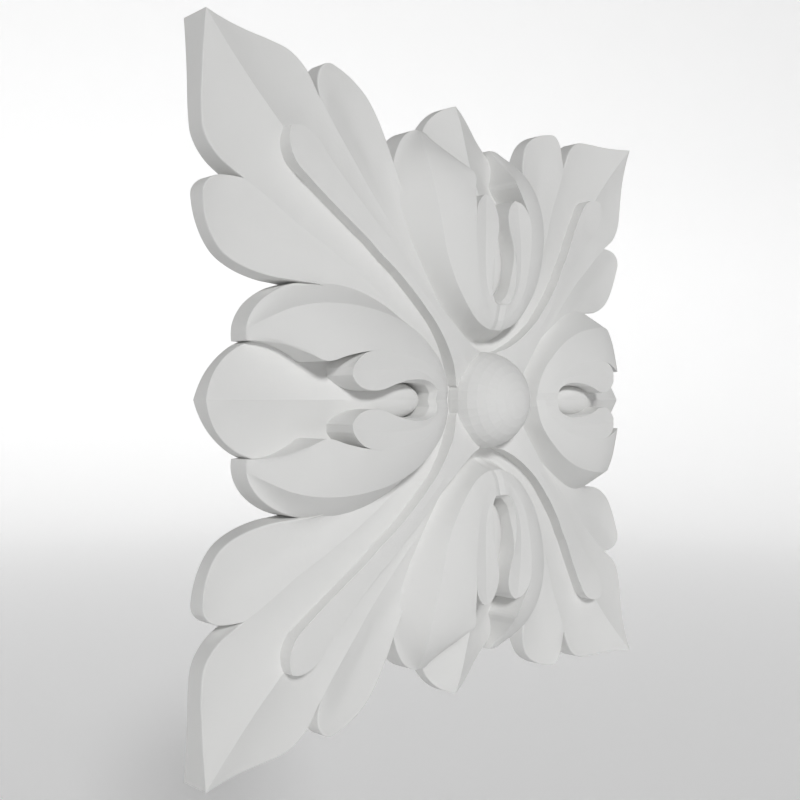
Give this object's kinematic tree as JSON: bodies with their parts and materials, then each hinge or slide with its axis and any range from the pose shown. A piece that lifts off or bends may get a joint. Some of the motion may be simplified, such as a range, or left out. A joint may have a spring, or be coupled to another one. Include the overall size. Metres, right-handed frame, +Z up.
{
  "type": "carved rosette",
  "caption": "Square relief rosette with pointed corner leaves, folded buds between them, a ribbed star and a round centre boss; fixed flat to a panel, frame, door or wall.",
  "frame": {"origin": "centre of the flat back face", "axes": "+Z up the rosette to the top bud, +X to the right bud seen from the front, carved front towards -Y, flat back facing +Y"},
  "size_m": [0.15, 0.0247, 0.15],
  "materials": {
    "plaster": "matte"
  },
  "bodies": {
    "root": {"rosette": "plaster"}
  },
  "joints": []
}
